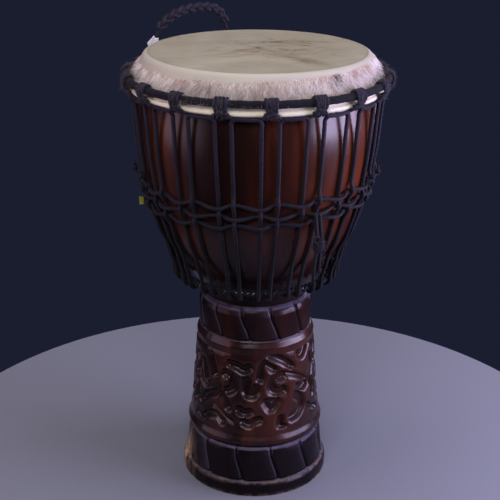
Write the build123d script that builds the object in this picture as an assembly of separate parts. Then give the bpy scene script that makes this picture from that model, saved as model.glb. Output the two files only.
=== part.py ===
from build123d import *
import math
import os

# Djembe: a carved goblet drum, 600 mm tall, roped with a goatskin head.
# Frame: millimetres, Z up, Z = 0 is the floor, the drum's axis is the Z axis, the front is -Y.
# An angle round the drum is measured from the front, positive towards +X.

# ---- head, hoops and lacing sizes ----
HEAD_Z = 600.0          # top of the stretched skin
SKIN = 1.2              # skin thickness
FLESH_R, FLESH_Z = 157.5, 557.5      # steel hoop rolled into the edge of the skin
FLESH_WIRE = 4.0
FLESH_FOLD = 5.3        # outside radius of the skin wrapped round that hoop
CONE_ANGLE = 24.0       # slope of the pulled-down skin, from vertical
HEAD_FILLET = 10.0

CROWN_R, CROWN_Z = 167.3, 569.3      # hoop that the ropes pull on
CROWN_CORE = 3.2
CROWN_WRAP = 5.0

BOTTOM_R, BOTTOM_Z = 104.0, 306.0    # small hoop under the bowl
BOTTOM_CORE = 2.8
BOTTOM_WRAP = 4.5

ROPE = 2.5              # radius of the lacing rope
ROWS = ((440.0, 155.75), (424.5, 152.85), (413.0, 150.45))   # weave rows: height, radius
STATIONS = 18           # crown hitches, evenly spaced
STATION = 360.0 / STATIONS
PHASE = 5.8             # angle of the first hitch
PAIR = 3.8              # half angle between the two ropes beside a hitch
RUN_R, RUN_Z = 161.5, 549.2          # rope run under the flesh hoop

# ---- shell: outer and inner radius against height ----
FOOT_BORE = 86.0
BLOCKS = 12             # carved blocks in each block band

# ---- handle: heights and distances along the chord between its two eyes ----
HANDLE_LEFT, HANDLE_RIGHT = -125.0, -167.5
HANDLE_BRAID = 5.2
HANDLE_CORD = 2.2
HANDLE_EYE = 1.5        # cord of the eyes that ride on the crown hoop


def polar(radius, angle, height):
    """A point at an angle round the drum."""
    a = math.radians(angle)
    return Vector(radius * math.sin(a), -radius * math.cos(a), height)


def turned(shape, angle):
    """A shape built at the front, moved round to an angle."""
    return Rot(0, 0, angle) * shape


def save(shape, name):
    shape.label = name
    export_step(shape, f"parts/{name}.step")


def hoop(radius, height, wire):
    """A closed ring of round section, level round the drum."""
    return Pos(0, 0, height) * Torus(radius, wire)


def tube_ring(radius, height, outside, inside):
    """A hollow covering round a hoop."""
    return hoop(radius, height, outside) - hoop(radius, height, inside)


def rope(edges, radius):
    """A round rope along joined, tangent edges."""
    path = Wire(edges)
    start = Plane(origin=path @ 0, z_dir=path % 0)
    return sweep(start * Circle(radius), path=path, transition=Transition.ROUND)


def bend_radius(before, at, after):
    """Largest comfortable bend at a corner of a route, from its two runs."""
    a, b = at - before, after - at
    shorter = min(a.length, b.length)
    turn = math.radians(a.get_angle(b))
    return 0.45 * shorter / math.tan(turn / 2)


def bent_line(points):
    """Straight runs joined by tangent bends, drawn flat."""
    flat = [Vector(x, y, 0) for x, y in points]
    bends = [bend_radius(*flat[n - 1:n + 2]) for n in range(1, len(flat) - 1)]
    print("line of", len(flat), "points, least bend radius", round(min(bends), 1))
    return FilletPolyline(*flat, radius=bends)


# ---------------- shell ----------------

def shell_blank():
    """The turned goblet, before carving."""
    with BuildPart() as blank:
        with BuildSketch(Plane.XZ):
            with BuildLine():
                # foot rim, lower block band and the ridge above it
                Polyline(
                    (FOOT_BORE, 0), (100.4, 0), (101.9, 1.5), (102, 15.5), (98.5, 21.5), (97.4, 23.5),
                    (94.5, 60), (92.5, 66.5), (89.8, 70), (90.2, 73.5), (94.4, 76.5), (95, 81.2),
                    (91.2, 88.5), (90.6, 92), (90.6, 97),
                )
                # scroll band, flared, its upper ledge, then the ridge under the upper blocks
                Polyline((90.6, 97), (87.6, 130), (84.3, 170), (82.1, 200), (80.8, 204.5), (80, 205.8))
                Polyline(
                    (80, 205.8), (80.8, 207.2), (81.2, 215), (77.6, 222.2), (77.2, 224.5),
                    (78, 260), (76.5, 265), (73.8, 270.3), (70.5, 272), (70.2, 276),
                )
                # the bowl, an arc at a time, to its straight upper wall and rounded bearing edge
                ThreePointArc((70.2, 276), (75.0, 287), (86.5, 300))
                ThreePointArc((86.5, 300), (107.0, 330), (128.6, 370))
                ThreePointArc((128.6, 370), (141.2, 410), (149.0, 450))
                ThreePointArc((149.0, 450), (153.6, 485), (154.4, 515))
                Polyline((154.4, 515), (152.8, 540), (150.6, 562), (148.4, 580))
                ThreePointArc((148.4, 580), (145.4, 592.5), (138.0, 598.7))
                Line((138.0, 598.7), (134.5, 598.7))
                # down the inside: straight wall, funnel, throat, then the flared bore of the stem
                Polyline((134.5, 598.7), (131.6, 594), (131.0, 588))
                ThreePointArc((131.0, 588), (136.0, 545), (137.0, 510))
                ThreePointArc((137.0, 510), (133.5, 450), (124.0, 405))
                ThreePointArc((124.0, 405), (104.0, 355), (76.0, 315))
                ThreePointArc((76.0, 315), (50.0, 285), (44.0, 262))
                Polyline((44.0, 262), (45.5, 235), (56.0, 160), (70.0, 70), (FOOT_BORE, 0))
            make_face()
        revolve(axis=Axis.Z)
    return blank.part


def block_grooves():
    """Slanted V grooves that part the blocks in the two block bands."""
    tools = []
    step = 360.0 / BLOCKS
    bands = ((-14.7, 9.8, 225.0, 272.5, 77.6), (-16.0, 6.3, 21.0, 70.0, 95.5))
    for first, shift, low, high, radius in bands:
        height = high - low
        lean = math.degrees(math.atan2(math.radians(shift) * radius, height))
        for n in range(BLOCKS):
            middle = first + shift / 2 + n * step
            bar = Rot(0, 0, 45) * Box(4.4, 4.4, height / math.cos(math.radians(lean)))
            place = Pos(0, -(radius + 0.4), (low + high) / 2) * Rot(0, lean, 0)
            tools.append(turned(place * bar, middle))
    return tools


def scroll_radius(height):
    """Outside radius of the scroll band, which flares towards the foot."""
    return 81.4 + (205.0 - height) * 9.2 / 108.0


def scroll_pockets():
    """Sunk grounds between the raised strands of the scroll band, in six repeats: angle, height, size."""
    repeats = 6
    motif = (
        (-24.0, 168, 9.5), (-2.0, 162, 7.5), (-2.0, 170, 7.5), (18.0, 166, 9.5), (-10.0, 190, 7.0),
        (8.0, 137, 8.0), (-14.0, 129, 9.0), (26.0, 122, 8.0), (27.0, 191, 8.0), (3.0, 113, 7.0),
    )
    tools = []
    for n in range(repeats):
        for angle, height, size in motif:
            cutter = Rot(90, 0, 0) * Cylinder(size, 12.0)
            middle = scroll_radius(height) + 6.0 - 4.0
            tools.append(turned(Pos(0, -middle, height) * cutter, angle + n * 360.0 / repeats))
    return tools


def shell():
    body = shell_blank()
    return body.cut(*block_grooves()).cut(*scroll_pockets())


# ---------------- skin ----------------

def drum_skin():
    """Flat head, coned down over the bearing edge and rolled round the flesh hoop."""
    a = math.radians(CONE_ANGLE)
    down = Vector(math.sin(a), -math.cos(a))
    out = Vector(math.cos(a), math.sin(a))
    centre = Vector(FLESH_R, FLESH_Z)
    turn = math.radians(90 - CONE_ANGLE)

    def side(offset):
        """Edges of one face of the skin, from the axis to the rolled edge."""
        roll = FLESH_FOLD - offset
        top = HEAD_Z - offset
        bend = HEAD_FILLET - offset
        touch = centre + out * roll
        reach = (top - touch.Y) / math.cos(a)
        corner = touch - down * reach
        tangent = bend * math.tan(turn / 2)
        flat_end = corner - Vector(tangent, 0)
        cone_start = corner + down * tangent
        mid_turn = turn / 2
        bend_mid = flat_end + Vector(bend * math.sin(mid_turn), -bend * (1 - math.cos(mid_turn)))
        start, stop = math.radians(CONE_ANGLE), math.radians(-200)
        mid = (start + stop) / 2
        roll_mid = centre + Vector(roll * math.cos(mid), roll * math.sin(mid))
        roll_end = centre + Vector(roll * math.cos(stop), roll * math.sin(stop))
        return flat_end, bend_mid, cone_start, touch, roll_mid, roll_end

    o = side(0.0)
    i = side(SKIN)
    with BuildPart() as skin:
        with BuildSketch(Plane.XZ):
            with BuildLine():
                Line((0, HEAD_Z), o[0])
                ThreePointArc(o[0], o[1], o[2])
                Line(o[2], o[3])
                ThreePointArc(o[3], o[4], o[5])
                Line(o[5], i[5])
                ThreePointArc(i[5], i[4], i[3])
                Line(i[3], i[2])
                ThreePointArc(i[2], i[1], i[0])
                Line(i[0], (0, HEAD_Z - SKIN))
                Line((0, HEAD_Z - SKIN), (0, HEAD_Z))
            make_face()
        revolve(axis=Axis.Z)
    return skin.part


# ---------------- lacing ----------------

# radius of a lacing rope's centre line against height, down the bowl
DROP = (
    (161.5, 543.0), (159.4, 520.0), (157.6, 495.0), (154.8, 465.0), (150.2, 437.0), (144.6, 410.0),
    (132.4, 370.0), (120.6, 340.0), (112.8, 321.0), (111.2, 313.0), (111.2, 306.0),
)


def lacing_span():
    """One stretch of lacing: hook, up, along under the flesh hoop, down, hook."""
    left, right = PAIR, STATION - PAIR
    bend = 3.0

    def drop(angle):
        out = polar(1, angle, 0)
        upright = Plane(origin=(0, 0, 0), x_dir=out, z_dir=out.cross(Vector(0, 0, 1)))
        return Wire((upright.location * bent_line(DROP)).edges())

    def hook(angle):
        at = polar(BOTTOM_R, angle, BOTTOM_Z)
        out = polar(1, angle, 0)
        reach = BOTTOM_WRAP + ROPE + 0.2

        def on(deg):
            a = math.radians(deg)
            return at + out * (reach * math.cos(a)) + Vector(0, 0, reach * math.sin(a))

        return ThreePointArc(on(0), on(-75), on(-150))

    run_left = left + math.degrees(bend / RUN_R) * 2
    run_right = right - math.degrees(bend / RUN_R) * 2
    run = ThreePointArc(
        polar(RUN_R, run_left, RUN_Z), polar(RUN_R, STATION / 2, RUN_Z), polar(RUN_R, run_right, RUN_Z)
    )
    down_left = drop(left)
    down_right = drop(right)
    corner_left = Spline(down_left @ 0, run @ 0, tangents=(-(down_left % 0), run % 0))
    corner_right = Spline(run @ 1, down_right @ 0, tangents=(run % 1, down_right % 0))
    parts = [hook(left), *down_left.edges(), corner_left, run, corner_right, *down_right.edges(), hook(right)]
    return rope(parts, ROPE)


def windings(turns, cord, seat, bore):
    """Turns of cord side by side round the X axis, as one solid: seat is the radius they lie on, bore is open."""
    half = turns * cord
    with BuildPart() as wound:
        with BuildSketch(Plane.XY):
            with BuildLine():
                for n in range(turns):
                    middle = (2 * n + 1) * cord - half
                    low = seat + cord
                    ThreePointArc((middle - cord, low), (middle, low + cord), (middle + cord, low))
                Polyline((half, seat + cord), (half, bore), (-half, bore), (-half, seat + cord))
            make_face()
        revolve(axis=Axis.X)
    return wound.part


def crown_loop():
    """Hitch on the crown hoop: four turns of cord and the two legs that hang from it."""
    cord = 1.55
    clear = 0.15
    seat = CROWN_WRAP + clear
    body = Pos(0, -CROWN_R, CROWN_Z) * windings(4, cord, seat, seat)
    for side in (-2.2, 2.2):
        top = Vector(side, -CROWN_R - 0.6, CROWN_Z - CROWN_WRAP - cord)
        foot = Vector(side * 1.6, -CROWN_R - 0.6, 547.0)
        body = body + rope([Line(top, foot)], cord)
    return body


# ---------------- handle ----------------

# the handle's centre line: along the chord between its eyes, height above the crown hoop
HANDLE_ROUTE = (
    (0.0, 6.7), (-1.4, 19.0), (0.6, 31.0), (9.0, 43.0), (23.0, 53.5), (42.0, 60.0), (62.0, 62.0),
    (82.0, 61.5), (99.0, 55.5), (107.5, 44.0), (110.0, 32.0), (114.5, 19.0), (121.3, 6.7),
)


def route(points, frame, radius):
    """A round cord along straight runs joined by tangent bends, drawn in a flat frame."""
    path = Wire(bent_line(points).edges())
    body = sweep(Plane(origin=path @ 0, z_dir=path % 0) * Circle(radius), path=path)
    print("route", len(points), "length", round(path.length, 1))
    return frame * body


def between(a, b, share=0.5):
    """A point on the run from a to b."""
    return tuple(p + (q - p) * share for p, q in zip(a, b))


def handle_frame():
    """Plane through the two eyes: X along the chord, Y up."""
    left = polar(CROWN_R, HANDLE_LEFT, CROWN_Z)
    right = polar(CROWN_R, HANDLE_RIGHT, CROWN_Z)
    along = (right - left).normalized()
    return Plane(origin=left, x_dir=along, z_dir=along.cross(Vector(0, 0, 1)))


def handle_braid():
    """The thick braided arch that the hand holds."""
    first = between(HANDLE_ROUTE[2], HANDLE_ROUTE[3])
    last = between(HANDLE_ROUTE[9], HANDLE_ROUTE[10])
    return route([first, *HANDLE_ROUTE[3:10], last], handle_frame(), HANDLE_BRAID)


def handle_loop(side):
    """An eye round the crown hoop and the cord that rises from it to the braid."""
    angle = HANDLE_LEFT if side == "left" else HANDLE_RIGHT
    eye = Pos(0, -CROWN_R, CROWN_Z) * (Rot(0, 90, 0) * Torus(CROWN_WRAP + HANDLE_EYE + 0.2, HANDLE_EYE))
    if side == "left":
        leg = [*HANDLE_ROUTE[:3], between(HANDLE_ROUTE[2], HANDLE_ROUTE[3], 0.49)]
    else:
        leg = [between(HANDLE_ROUTE[9], HANDLE_ROUTE[10], 0.51), *HANDLE_ROUTE[10:]]
    return turned(eye, angle) + route(leg, handle_frame(), HANDLE_CORD)


def handle_tag():
    """Blank tape folded round the left leg of the handle."""
    frame = handle_frame()
    at = frame.from_local_coords(Vector(-1.1, 20.0, 0))
    sleeve = Cylinder(3.6, 8.0) - Cylinder(HANDLE_CORD + 0.8, 9.0)
    tab = Pos(-8.0, 0, 0) * Box(9.4, 0.8, 8.0)
    turn = Plane(origin=at, x_dir=frame.x_dir, z_dir=Vector(0, 0, 1))
    return turn * (sleeve + tab)


# ---------------- tail of the lacing rope ----------------

TAIL_ANGLE = 27.5
TAIL_R = 161.0
TAIL_Z = 424.0


def tail_frame():
    """Hangs at the tail: X to the right along the bowl, Y up."""
    a = math.radians(TAIL_ANGLE)
    along = Vector(math.cos(a), math.sin(a), 0)
    return Plane(origin=polar(TAIL_R, TAIL_ANGLE, TAIL_Z), x_dir=along, z_dir=polar(1, TAIL_ANGLE, 0))


def tail_strands():
    """Two strands of spare rope that hang from the weave."""
    left = route([(-2.8, 4.0), (-1.8, -11.0), (0.6, -27.0)], tail_frame(), ROPE)
    right = route([(2.8, 4.0), (4.2, -11.0), (6.2, -27.0)], tail_frame(), ROPE)
    return Compound([left, right])


def tail_knot():
    """The wraps that bind the spare rope: four turns side by side."""
    cord = 1.8
    place = Pos(2.9, -35.6, 0) * Rot(0, 0, 86)
    return tail_frame() * (place * windings(4, cord, 2.8, 0))


def tail_ends():
    """The two cut rope ends below the knot."""
    left = route([(-0.4, -44.2), (-2.6, -57.0), (-3.9, -70.0), (-3.6, -84.0)], tail_frame(), ROPE)
    right = route([(5.2, -44.2), (3.8, -57.0), (3.2, -72.0)], tail_frame(), ROPE)
    return Compound([left, right])


# ---------------- small ties ----------------

def tie_knots():
    """Stopper knots where ends of the weaving rope are tied off."""
    places = ((-79.0, 452.0), (-66.0, 451.5), (66.0, 452.0), (76.0, 451.0))
    return Compound([
        Pos(*polar(160.6, angle, height)) * Sphere(5.2) for angle, height in places
    ])


def yellow_tag():
    """Blank coloured tape tab hanging under the lowest weave row."""
    tab = Pos(0, -156.6, 402.5) * Box(6.0, 0.9, 12.0)
    return turned(tab, -80.5)


def build():
    os.makedirs("parts", exist_ok=True)
    save(shell(), "shell")
    save(drum_skin(), "drum_skin")
    save(hoop(FLESH_R, FLESH_Z, FLESH_WIRE), "flesh_ring")
    save(hoop(CROWN_R, CROWN_Z, CROWN_CORE), "crown_ring_core")
    save(tube_ring(CROWN_R, CROWN_Z, CROWN_WRAP, CROWN_CORE + 0.05), "crown_ring_wrap")
    save(hoop(BOTTOM_R, BOTTOM_Z, BOTTOM_CORE), "bottom_ring_core")
    save(tube_ring(BOTTOM_R, BOTTOM_Z, BOTTOM_WRAP, BOTTOM_CORE + 0.05), "bottom_ring_wrap")
    for n, (height, radius) in enumerate(ROWS):
        save(hoop(radius, height, ROPE - 0.1), f"weave_row_{n + 1}")
    span = lacing_span()
    loop = crown_loop()
    for n in range(STATIONS):
        angle = PHASE + n * STATION
        save(turned(span, angle), f"lacing_span_{n + 1:02d}")
        save(turned(loop, angle), f"crown_loop_{n + 1:02d}")
    save(handle_braid(), "handle_braid")
    save(handle_loop("left"), "handle_loop_left")
    save(handle_loop("right"), "handle_loop_right")
    save(handle_tag(), "handle_tag")
    save(tail_strands(), "tail_strands")
    save(tail_knot(), "tail_knot")
    save(tail_ends(), "tail_ends")
    save(tie_knots(), "tie_knots")
    save(yellow_tag(), "yellow_tag")


build()
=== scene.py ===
"""Looks of a roped, carved djembe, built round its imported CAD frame. Metres, Z up, front is -Y."""
import math

import bpy
import numpy as np
from mathutils import Matrix, Vector


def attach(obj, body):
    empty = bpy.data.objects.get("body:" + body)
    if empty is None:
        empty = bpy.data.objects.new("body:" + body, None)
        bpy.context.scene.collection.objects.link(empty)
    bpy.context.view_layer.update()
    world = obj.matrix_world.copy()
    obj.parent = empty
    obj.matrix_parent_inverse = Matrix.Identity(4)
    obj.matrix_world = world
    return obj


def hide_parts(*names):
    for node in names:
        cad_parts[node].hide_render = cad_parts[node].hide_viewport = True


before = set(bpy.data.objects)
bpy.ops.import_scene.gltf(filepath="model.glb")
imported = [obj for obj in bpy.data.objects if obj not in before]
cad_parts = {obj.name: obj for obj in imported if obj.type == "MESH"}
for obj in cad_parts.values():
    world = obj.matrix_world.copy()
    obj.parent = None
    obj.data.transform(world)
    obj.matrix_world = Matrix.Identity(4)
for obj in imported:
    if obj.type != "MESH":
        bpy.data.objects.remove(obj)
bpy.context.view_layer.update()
rng = np.random.default_rng(11)

# ---------------------------------------------------------------- dimensions
HEAD_Z = 0.600
CROWN_R, CROWN_Z, CROWN_WRAP = 0.1673, 0.5693, 0.0050
FLESH_R, FLESH_Z, FLESH_FOLD = 0.1575, 0.5575, 0.0053
BOTTOM_R, BOTTOM_Z = 0.1040, 0.3060
RUN_R, RUN_Z = 0.1636, 0.5508      # the lacing's run, 2 mm outside the CAD's plain one
STATIONS = 18
STATION = 360.0 / STATIONS
PHASE, PAIR = 5.8, 3.8
ROPE_R, ROW_R, CORD_R = 0.0026, 0.0024, 0.0018
UP = np.array([0, 0, 1.0])

# shell outside, radius against height, from the CAD
BOWL = (
    (0.0702, 0.276), (0.0745, 0.287), (0.0865, 0.300), (0.1070, 0.330), (0.1286, 0.370), (0.1412, 0.410),
    (0.1490, 0.450), (0.1534, 0.485), (0.1544, 0.515), (0.1528, 0.540), (0.1506, 0.562), (0.1484, 0.580),
    (0.1456, 0.5905), (0.1426, 0.596), (0.1380, 0.5986), (0.1345, 0.5987),
)
INSIDE = (
    (0.1345, 0.5987), (0.1310, 0.590), (0.1335, 0.550), (0.1370, 0.510), (0.1335, 0.450), (0.1240, 0.405),
    (0.1040, 0.355), (0.0760, 0.315), (0.0500, 0.285), (0.0440, 0.262), (0.0455, 0.235), (0.0560, 0.160),
    (0.0700, 0.070), (0.0860, 0.0004),
)


# ---------------------------------------------------------------- small maths
def polar(radius, angle, height):
    """Points at an angle round the drum, in degrees from the front."""
    a = np.radians(angle)
    radius, a, height = np.broadcast_arrays(radius, a, height)
    return np.stack([radius * np.sin(a), -radius * np.cos(a), height], -1)


def smooth(x, low=0.0, high=1.0):
    """A soft step from 0 at low to 1 at high."""
    t = np.clip((x - low) / (high - low), 0, 1)
    return t * t * (3 - 2 * t)


def curve(points, count):
    """A smooth line through points, Catmull-Rom, evenly spaced."""
    p = np.asarray(points, float)
    p = np.vstack([2 * p[0] - p[1], p, 2 * p[-1] - p[-2]])
    t = np.linspace(0, 1, 24, endpoint=False)[:, None]
    out = []
    for a, b, c, d in zip(p, p[1:], p[2:], p[3:]):
        square, cube = 2 * a - 5 * b + 4 * c - d, 3 * b - a - 3 * c + d
        out.append(0.5 * (2 * b + (c - a) * t + square * t**2 + cube * t**3))
    line = np.vstack([*out, p[-2][None]])
    return resample(line, count)


def resample(line, count):
    """The same line with evenly spaced points."""
    step = np.linalg.norm(np.diff(line, axis=0), axis=1)
    along = np.concatenate([[0], np.cumsum(step)])
    want = np.linspace(0, along[-1], count)
    return np.stack([np.interp(want, along, line[:, k]) for k in range(line.shape[1])], -1)


def noise(points, scale, seed=0):
    """Smooth repeatable noise, about -1 to 1, from summed sines; points may be a grid."""
    g = np.random.default_rng(seed)
    total = np.zeros(points.shape[:-1])
    for _ in range(7):
        k = g.normal(size=3)
        k *= 2 * math.pi / (scale * np.linalg.norm(k)) * g.uniform(0.7, 1.5)
        total += np.sin(points @ k + g.uniform(0, 6.28))
    return total / 4


# ---------------------------------------------------------------- mesh helpers
def add(name, data):
    """A new object in the scene."""
    ob = bpy.data.objects.new(name, data)
    bpy.context.scene.collection.objects.link(ob)
    return ob


def mesh_object(name, verts, faces, look):
    me = bpy.data.meshes.new(name)
    if isinstance(faces, np.ndarray):
        faces = faces.tolist()
    me.from_pydata(np.asarray(verts).reshape(-1, 3).tolist(), [], faces)
    me.update()
    me.polygons.foreach_set("use_smooth", [True] * len(me.polygons))
    me.materials.append(look)
    return add(name, me)


def piece(name, geometry, look, body, node=None):
    """A mesh that rides on a body and may stand for a node of the CAD."""
    ob = mesh_object(name, *geometry, look)
    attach(ob, body)
    if node:
        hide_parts(node)
    return ob


def grid_faces(rows, cols, wrap_cols=False, wrap_rows=False):
    """Quads between the neighbours of a grid of points."""
    r = np.arange(rows if wrap_rows else rows - 1)[:, None]
    c = np.arange(cols if wrap_cols else cols - 1)[None, :]
    r2, c2 = (r + 1) % rows, (c + 1) % cols
    quads = np.stack([r * cols + c, r * cols + c2, r2 * cols + c2, r2 * cols + c], -1)
    return quads.reshape(-1, 4)


def frames(line, closed=False):
    """Tangents and two side directions along a line, without twist."""
    t = np.gradient(line, axis=0)
    if closed:
        t = np.roll(line, -1, 0) - np.roll(line, 1, 0)
    t /= np.linalg.norm(t, axis=1, keepdims=True)
    side = np.empty_like(t)
    first = np.cross(t[0], [0.0, 0.0, 1.0])
    if np.linalg.norm(first) < 0.2:
        first = np.cross(t[0], [0.0, 1.0, 0.0])
    side[0] = first / np.linalg.norm(first)
    for n in range(1, len(line)):
        s = side[n - 1] - t[n] * (side[n - 1] @ t[n])
        side[n] = s / np.linalg.norm(s)
    return t, side, np.cross(t, side)


def braid(s, phi, pitch=0.0075, strands=4, depth=0.085):
    """Relief of a braided rope: two families of strands crossing."""
    a = np.cos(strands * phi + 2 * math.pi * s / pitch)
    b = np.cos(strands * phi - 2 * math.pi * s / pitch)
    return 1 + depth * (np.maximum(a, b) - 0.45)


def three_strand(pitch, depth):
    """The relief of a cord braided from three strands."""
    return lambda s, phi: braid(s, phi, pitch, 3, depth)


def tube(line, radius, sides=12, closed=False, relief=None):
    """(verts, faces) of a round cord along a line."""
    line = np.asarray(line, float)
    n = len(line)
    t, u, v = frames(line, closed)
    step = np.concatenate([[0], np.cumsum(np.linalg.norm(np.diff(line, axis=0), axis=1))])
    phi = np.linspace(0, 2 * math.pi, sides, endpoint=False)
    r = np.broadcast_to(np.asarray(radius, float).reshape(-1, 1), (n, 1)) * np.ones((1, sides))
    if relief is not None:
        r = r * relief(step[:, None], phi[None, :])
    ring = u[:, None] * (np.cos(phi) * r)[..., None] + v[:, None] * (np.sin(phi) * r)[..., None]
    verts = (line[:, None] + ring).reshape(-1, 3)
    faces = grid_faces(n, sides, wrap_cols=True, wrap_rows=closed)[:, ::-1].tolist()
    if not closed:
        bulge = 0.35
        first, last = n * sides, n * sides + 1
        tips = line[0] - t[0] * np.mean(r[0]) * bulge, line[-1] + t[-1] * np.mean(r[-1]) * bulge
        verts = np.vstack([verts, *tips])
        for k in range(sides):
            k2 = (k + 1) % sides
            faces.append([first, k, k2])
            faces.append([last, (n - 1) * sides + k2, (n - 1) * sides + k])
    return verts, faces


def join(*parts):
    """Several (verts, faces) as one."""
    verts, faces, base = [], [], 0
    for v, f in parts:
        verts.append(v)
        faces.extend([[i + base for i in q] for q in f])
        base += len(v)
    return np.vstack(verts), faces


def hairs(roots, directions, lengths, width, droop=0.0, wave=0.0, joints=4):
    """Fine tapered three-sided strands from roots, as one mesh."""
    count = len(roots)
    directions = directions / np.linalg.norm(directions, axis=1, keepdims=True)
    side = np.cross(directions, rng.normal(size=(count, 3)))
    side /= np.linalg.norm(side, axis=1, keepdims=True)
    other = np.cross(directions, side)
    stride = joints * 3 + 1
    verts = np.empty((count, stride, 3))
    wave = np.reshape(wave, (-1, 1))
    for j in range(joints + 1):
        t = j / joints
        bend = side * (wave * math.sin(math.pi * t * 1.3))
        middle = roots + directions * (lengths * t)[:, None] + bend * lengths[:, None]
        middle = middle - UP * (droop * lengths * t * t)[:, None]
        if j == joints:
            verts[:, -1] = middle
            break
        w = width * (1 - 0.75 * t)
        for k in range(3):
            a = 2 * math.pi * k / 3
            verts[:, j * 3 + k] = middle + (side * math.cos(a) + other * math.sin(a)) * w
    faces = []
    for j in range(joints - 1):
        for k in range(3):
            k2 = (k + 1) % 3
            faces.append([j * 3 + k, j * 3 + k2, j * 3 + 3 + k2, j * 3 + 3 + k])
    last = (joints - 1) * 3
    tips = [[last + k, last + (k + 1) % 3, stride - 1] for k in range(3)]
    offsets = np.arange(count)[:, None, None] * stride
    quads = (np.array(faces)[None] + offsets).reshape(-1, 4).tolist()
    tris = (np.array(tips)[None] + offsets).reshape(-1, 3).tolist()
    return verts.reshape(-1, 3), quads + tris


def fuzz(line, radius, count, length, lean=0.6):
    """Stray fibres on a rope."""
    width = 0.00011
    t, u, v = frames(line)
    k = rng.integers(0, len(line), count)
    a = rng.uniform(0, 2 * math.pi, count)
    out = u[k] * np.cos(a)[:, None] + v[k] * np.sin(a)[:, None]
    roots = line[k] + out * (radius * 0.9)
    way = out + t[k] * rng.normal(0, lean, count)[:, None] + rng.normal(0, 0.35, (count, 3))
    return hairs(roots, way, length * rng.uniform(0.4, 1.3, count), width, wave=0.3, joints=3)


# ---------------------------------------------------------------- materials
def material(name):
    """A new material, its node tree and its shader."""
    m = bpy.data.materials.new(name)
    m.use_nodes = True
    nt = m.node_tree
    return m, nt, nt.nodes["Principled BSDF"]


def ramp(nt, source, stops):
    """Colours along a number, as (position, colour) stops."""
    n = nt.nodes.new("ShaderNodeValToRGB")
    elements = n.color_ramp.elements
    for element, (at, colour) in zip(elements, (stops[0], stops[-1])):
        element.position = at
        element.color = (*colour, 1)
    for at, colour in stops[1:-1]:
        elements.new(at).color = (*colour, 1)
    nt.links.new(source, n.inputs[0])
    return n.outputs[0]


def value_map(nt, source, low, high, to_low=0.0, to_high=1.0):
    """Stretches a number from one range to another, clamped."""
    n = nt.nodes.new("ShaderNodeMapRange")
    nt.links.new(source, n.inputs[0])
    for k, x in zip((1, 2, 3, 4), (low, high, to_low, to_high)):
        n.inputs[k].default_value = x
    return n.outputs[0]


def mix(nt, factor, a, b):
    """From colour a to colour b by a factor."""
    n = nt.nodes.new("ShaderNodeMix")
    n.data_type = "RGBA"
    for k, x in ((0, factor), (6, a), (7, b)):
        if isinstance(x, tuple):
            n.inputs[k].default_value = (*x, 1)
        else:
            nt.links.new(x, n.inputs[k])
    return n.outputs[2]


def math_node(nt, operation, a, b):
    """Two numbers combined, clamped to 0 to 1."""
    n = nt.nodes.new("ShaderNodeMath")
    n.operation = operation
    n.use_clamp = True
    nt.links.new(a, n.inputs[0])
    nt.links.new(b, n.inputs[1])
    return n.outputs[0]


def noise_node(nt, scale, detail=6.0, rough=0.6, stretch=(1, 1, 1), distortion=0.0):
    """Noise fixed to the object, stretched along its axes."""
    tc = nt.nodes.new("ShaderNodeTexCoord")
    mp = nt.nodes.new("ShaderNodeMapping")
    mp.inputs["Scale"].default_value = stretch
    nt.links.new(tc.outputs["Object"], mp.inputs[0])
    n = nt.nodes.new("ShaderNodeTexNoise")
    n.inputs["Scale"].default_value = scale
    n.inputs["Detail"].default_value = detail
    n.inputs["Roughness"].default_value = rough
    n.inputs["Distortion"].default_value = distortion
    nt.links.new(mp.outputs[0], n.inputs["Vector"])
    return n.outputs["Fac"]


def bump(nt, shader, height, strength, distance):
    """Fine relief for a shader."""
    n = nt.nodes.new("ShaderNodeBump")
    n.inputs["Strength"].default_value = strength
    n.inputs["Distance"].default_value = distance
    nt.links.new(height, n.inputs["Height"])
    nt.links.new(n.outputs[0], shader.inputs["Normal"])


def attribute(nt, name):
    """A number painted on the mesh."""
    n = nt.nodes.new("ShaderNodeAttribute")
    n.attribute_name = name
    return n.outputs["Fac"]


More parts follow.
